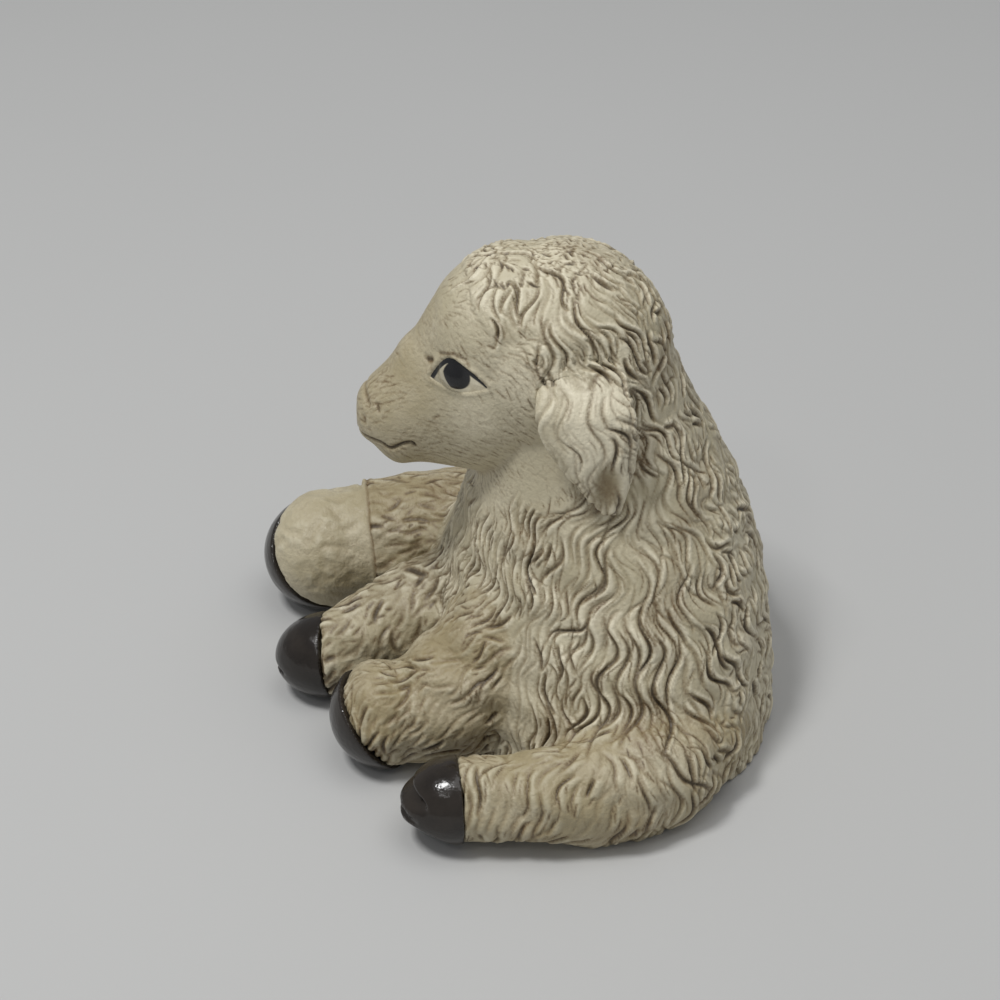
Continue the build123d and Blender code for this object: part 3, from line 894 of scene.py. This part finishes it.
def melt_creases(skin):
    """Even out the skin of the head round some places."""
    reach = np.stack(on_head(skin.points), axis=1)
    share = np.zeros(len(reach))
    for place, spread in MELT_PLACES:
        away = np.linalg.norm((reach - place) / spread, axis=1)
        share = np.maximum(share, ramp(away, 1.0, 0.5))
    used, local = np.unique(skin.quads[(share[skin.quads] > 0).any(axis=1)], return_inverse=True)
    part = Skin(skin.points[used], local.reshape(-1, 4))
    drawn = part.relaxed(part.points, MELT_ROUNDS, 0.8) - part.points
    skin.points[used] += drawn * share[used][:, None]


def paint_tone(skin, label, kind):
    """How pale the paint is at each point."""
    tone = np.full(len(label), 0.5)
    for node, value in TONES.items():
        tone[label == numbered(node)] = value
    tone[kind == WOOLS.index(TEMPLE_WOOL)] = TEMPLE_TONE
    tone[kind == WOOLS.index(FOOT_WOOL)] = FOOT_TONE
    tone[kind == WOOLS.index(CROWN_WOOL)] = CROWN_TONE
    tone[kind == WOOLS.index(FACE_WOOL)] = FACE_TONE
    return skin.relaxed(tone, 6)


def make_fleece():
    """The wool of body, head, ears, legs and tail, carved in one go and parted at the members."""
    skin = skin_round(FLEECE_NODES + EYE_NODES, FLEECE_VOXEL, rounds=14)
    points = skin.points
    label = settled(skin, nearest_node(points))
    head = label == numbered("head")
    points += swell_face(points, skin.normals(), head)
    points += skin.relaxed(tuck_ears(points, label), 8)
    points += soft_joins(skin, label)
    melt_creases(skin)
    normals = skin.normals()
    for node in EYE_NODES:
        make_eye(node, skin)
    face = face_share(points, label)
    stepped = np.where(label == numbered("hind_leg_right"), past_step(points), -FAR)
    foot = stepped > 0
    flow, course = wool_flow(points, normals, label, face)
    kind = wool_kinds(points, normals, label, face, foot)
    patchy = wandering(points, 6.0)
    phase = course * 2 * math.pi / WOOL_SIZES[kind, 6] + 1.8 * wandering(points, 11.0)
    relief, groove = carve(points, normals, flow, phase, patchy, foot, WOOL_SIZES[kind])
    fine_relief, fine_groove = carve(points, normals, flow, phase, patchy, foot, FINE_SIZES[kind])
    groove = np.maximum(groove, FINE_WASH_AND_SHADE * fine_groove)
    relief += fine_relief
    bare = face > 0.2
    relief[bare] = np.maximum(relief[bare], -FACE_CUT)
    groove[bare] = np.minimum(groove[bare], FACE_GROOVE)
    hollow = ear_hollow(points, label)
    ahead, _, above = on_head(points)
    ear = np.isin(label, [numbered(node) for node in EAR_NODES])
    plain = np.where(ear & (above < EAR_ROOT), ramp(ahead, -11.5, -9.5), 0.0)
    relief = relief * (1 - 0.9 * hollow) * (1 - 0.5 * plain)
    groove = groove * (1 - 0.8 * hollow) * (1 - FACE_CALM * face) * (1 - 0.7 * plain) * np.where(foot, 0.15, 1.0)
    height = relief - skin.relaxed(relief, 60)
    # Raised ridges painted paler: dry-brushed paint and painted highlight
    brushed_highlight = ramp(height, 0.0, 0.16)
    height += skin.relaxed(WOOL_SIZES[kind, -1], 12)
    lumpy = np.where(head | ear, HEAD_LUMPS, 1.0) * (1 - face) * ~foot
    height += LUMP_HEIGHT * wandering(points, LUMP_SPAN) * skin.relaxed(lumpy, 12)
    step = np.exp(-((stepped / STEP_HALF_WIDTH) ** 2))
    height += FOOT_RISE * ramp(stepped, 1.5, 5.0) - STEP_DEPTH * step
    carved, stain_and_shade = sculpt_face(points, head)
    height += carved - hollow * EAR_HOLLOW_DEPTH
    creased = ((skin.relaxed(points, 80) - points) * normals).sum(axis=1)
    groove = np.maximum(groove, stain_and_shade)
    # Brown stain at the ear's tip; painted shade in the slit of the step and in the creases between members, along
    # with brown wash there; brown patches at random
    stain_and_shade = np.maximum(0.45 * hollow, 0.7 * step) + 0.5 * ramp(creased, 0.05, 0.45)
    stain_and_shade += PATCH_STAIN * (1 - face) * ramp(wandering(points, 8.0), 0.2, 1.4) * ~(ear | foot)
    tone = paint_tone(skin, label, kind) + BRUSHED_HIGHLIGHT_TONE * brushed_highlight - 0.45 * plain
    tone = (tone - MUZZLE_WARMTH * face * ramp(ahead, -1.0, 6.0)) * (1 - 0.9 * hollow)
    grounded = ramp(normals[:, 2], -0.97, -0.85)
    skin.points = points + normals * (height * grounded)[:, None]
    skin.points[:, 2] = np.maximum(skin.points[:, 2], 0)
    skin.points = skin.relaxed(skin.points, 1, 0.2)
    normals = skin.normals()
    owner = label[skin.quads].max(axis=1)
    attributes = {"groove": groove, "stain_and_shade": stain_and_shade, "tone": tone}
    for number, node in enumerate(FLEECE_NODES):
        patch_piece(node, skin, normals, skin.quads[owner == number], attributes)


# The near hind hoof lies on its side: its cleft is high on the toe, and its sole is bevelled from a line
# on the ground. Places are measured from the middle of the hoof.
SIDE_HOOF = "hind_hoof_left"
TOE = unit(np.array([-0.25, -1.0, 0.0]))
FILL_PASSES = 5
FILL_ROUNDS = 60
CLEFT_HEIGHT = 2.0
CLEFT_HALF_WIDTH = 0.55
CLEFT_DEPTH = 2.0
CLEFT_START = 1.4
CLEFT_FULL = 4.0
BEVEL_START = (-4.8, -2.8)
BEVEL_FACING = (0.53, -0.848)
BEVEL_SLOPE = 0.93


def shape_side_hoof(skin):
    """Even the hoof out, cut its cleft and bevel its sole."""
    for _ in range(FILL_PASSES):
        drawn = skin.relaxed(skin.points, FILL_ROUNDS, 0.8) - skin.points
        outward = (drawn * skin.normals()).sum(axis=1)
        skin.points = skin.points + drawn * (outward > 0)[:, None]
    places = skin.points - middle(SIDE_HOOF)
    level = np.exp(-(((places[:, 2] - CLEFT_HEIGHT) / CLEFT_HALF_WIDTH) ** 2))
    notch = CLEFT_DEPTH * level * ramp(places @ TOE, CLEFT_START, CLEFT_FULL)
    places -= TOE * notch[:, None]
    beyond = (places[:, :2] - BEVEL_START) @ BEVEL_FACING
    sole = -middle(SIDE_HOOF)[2] + BEVEL_SLOPE * np.maximum(beyond, 0)
    places[:, 2] = np.maximum(places[:, 2], sole)
    skin.points = places + middle(SIDE_HOOF)
    skin.points = skin.relaxed(skin.points, 3)


# The far hind hoof lies behind the rim of its foot, so that only its edge shows
EDGE_HOOF = "hind_hoof_right"
EDGE_HOOF_GIRTH = 0.94


def slim_edge_hoof(skin):
    """Draw the far hind hoof in towards its own axis."""
    run = leg_direction(EDGE_HOOF.replace("hoof", "leg"))
    reach = skin.points - middle(EDGE_HOOF)
    along = (reach @ run)[:, None] * run
    skin.points = middle(EDGE_HOOF) + along + (reach - along) * EDGE_HOOF_GIRTH
    skin.points[:, 2] -= skin.points[:, 2].min()


def make_hoof(node):
    """A smooth painted hoof."""
    skin = skin_round([node], HOOF_VOXEL, rounds=6)
    if node == SIDE_HOOF:
        shape_side_hoof(skin)
    if node == EDGE_HOOF:
        slim_edge_hoof(skin)
    skin.points[:, 2] = np.maximum(skin.points[:, 2], 0)
    return new_piece(f"{node}_cap", skin.points, skin.quads.tolist(), {}, HOOF_PAINT, node)


def eye_darkness(flat):
    """1 on the pupil and the lash line, 0 on the white of the eye."""
    reach = flat - PUPIL_MIDDLE
    pupil = np.minimum(PUPIL_RADIUS - np.linalg.norm(reach, axis=1), PUPIL_CUT - reach @ CUT_FACING)
    lash = np.interp(flat[:, 0], LASH_AT, LASH_WIDTH) - distance_to(UPPER_LID, flat)
    lash = np.where(in_almond(flat), lash, 0.1)
    lower = distance_to(LOWER_LID, flat) < distance_to(UPPER_LID, flat)
    lash = np.where(lower & ~in_almond(flat), -0.1, lash)
    corner = 0.30 * ramp(flat[:, 0], -0.3, 0.9)
    return np.maximum(ramp(np.maximum(pupil, lash), -0.05, 0.05), corner)


def make_eye(node, skin):
    """A painted almond, laid on the face in the hollow between its lids."""
    centre, nose, up, out = eye_frame(node)
    near = np.linalg.norm(skin.points[skin.quads[:, 0]] - centre, axis=1) < 8.0
    used, local = np.unique(skin.quads[near], return_inverse=True)
    tree = BVHTree.FromPolygons(skin.points[used].tolist(), local.reshape(-1, 4).tolist())
    hub = ALMOND.mean(axis=0)
    outline = ALMOND + unit(ALMOND - hub) * EYE_OVERLAP
    count = len(outline)
    shares = np.linspace(0, 1, EYE_RINGS + 1)[1:]
    flat = np.vstack([hub] + [hub + share * (outline - hub) for share in shares])
    share = np.concatenate([[0.0], np.repeat(shares, count)])
    start = centre + flat @ np.stack([nose, up]) + out * 6.0
    seat = np.array([tree.ray_cast(Vector(point), Vector(-out))[0] for point in start])
    top = seat + out * (EYE_BULGE * (1 - share**2) - EYE_SINK)[:, None]
    foot = top[-count:] - out * EYE_THICKNESS
    points = np.vstack([top, foot, foot.mean(axis=0)])
    ring = np.arange(count)
    onward = np.roll(ring, -1)
    faces = [[0, 1 + i, 1 + j] for i, j in zip(ring, onward)]
    for level in range(EYE_RINGS):
        base = 1 + level * count
        faces += [[base + i, base + count + i, base + count + j, base + j] for i, j in zip(ring, onward)]
    last = 1 + (EYE_RINGS) * count
    faces += [[last + i, len(points) - 1, last + j] for i, j in zip(ring, onward)]
    if np.cross(nose, up) @ out * turning(outline) < 0:
        faces = [face[::-1] for face in faces]
    dark = np.concatenate([eye_darkness(flat), np.zeros(count + 1)])
    faces = [[int(i) for i in face] for face in faces]
    return new_piece(f"{node}_almond", points, faces, {"dark": dark}, EYE_PAINT, node)


def turning(outline):
    """Above 0 where an outline runs anticlockwise."""
    onward = np.roll(outline, -1, axis=0)
    return (outline[:, 0] * onward[:, 1] - outline[:, 1] * onward[:, 0]).sum()


# Stage

def make_floor():
    """A plain pale floor."""
    material, tree, shader = new_material("floor_paint")
    cloudy = noise(tree, 6.0)
    tree.links.new(mixed(tree, cloudy, FLOOR_GREY, FLOOR_PALE), shader.inputs["Base Color"])
    shader.inputs["Roughness"].default_value = 0.9
    mesh = bpy.data.meshes.new("floor")
    half = 2.0
    mesh.from_pydata([(-half, -half, 0), (half, -half, 0), (half, half, 0), (-half, half, 0)], [], [[0, 1, 2, 3]])
    mesh.materials.append(material)
    floor = bpy.data.objects.new("floor", mesh)
    bpy.context.scene.collection.objects.link(floor)


def direction(azimuth, elevation):
    """The way to a viewer at an azimuth and elevation."""
    a = math.radians(azimuth)
    e = math.radians(elevation)
    return np.array([math.sin(a) * math.cos(e), -math.cos(a) * math.cos(e), math.sin(e)])


def aim(thing, place, target):
    """Put a camera or lamp at a place, looking at a target, both in millimetres."""
    thing.location = Vector(place) * MM
    thing.rotation_euler = Vector(target - place).to_track_quat("-Z", "Y").to_euler()


def make_camera(target):
    """The camera, at the photograph's angle."""
    camera = bpy.data.objects.new("camera", bpy.data.cameras.new("camera"))
    bpy.context.scene.collection.objects.link(camera)
    camera.data.lens = CAMERA_LENS
    camera.data.sensor_width = 36.0
    camera.data.clip_start = 0.005
    aim(camera, target + direction(CAMERA_AZIMUTH, CAMERA_ELEVATION) * CAMERA_DISTANCE, target)
    bpy.context.scene.camera = camera


def make_lamp(name, azimuth, elevation, distance, size, power, target):
    """A square soft lamp, at an azimuth and elevation."""
    light = bpy.data.lights.new(name, "AREA")
    light.size = size * MM
    light.energy = power
    lamp = bpy.data.objects.new(name, light)
    bpy.context.scene.collection.objects.link(lamp)
    aim(lamp, target + direction(azimuth, elevation) * distance, target)


def make_lights(target):
    """Soft light from above and the left, with a pale room round it."""
    make_lamp("key", 10.0, 68.0, 600.0, 130.0, 1.8, target)
    make_lamp("top", 150.0, 76.0, 700.0, 500.0, 1.1, target)
    make_lamp("glint", 40.0, 50.0, 600.0, 50.0, 0.12, target)
    world = bpy.data.worlds.new("room")
    world.use_nodes = True
    world.node_tree.nodes["Background"].inputs["Color"].default_value = (0.95, 0.97, 1.0, 1.0)
    world.node_tree.nodes["Background"].inputs["Strength"].default_value = 0.27
    bpy.context.scene.world = world


make_fleece()
for hoof in HOOF_NODES:
    make_hoof(hoof)
make_floor()
TARGET = BODY_AXIS + np.array([0.0, -TARGET_AHEAD, TARGET_HEIGHT])
make_camera(TARGET)
make_lights(TARGET)
bpy.context.scene.view_settings.view_transform = "Standard"
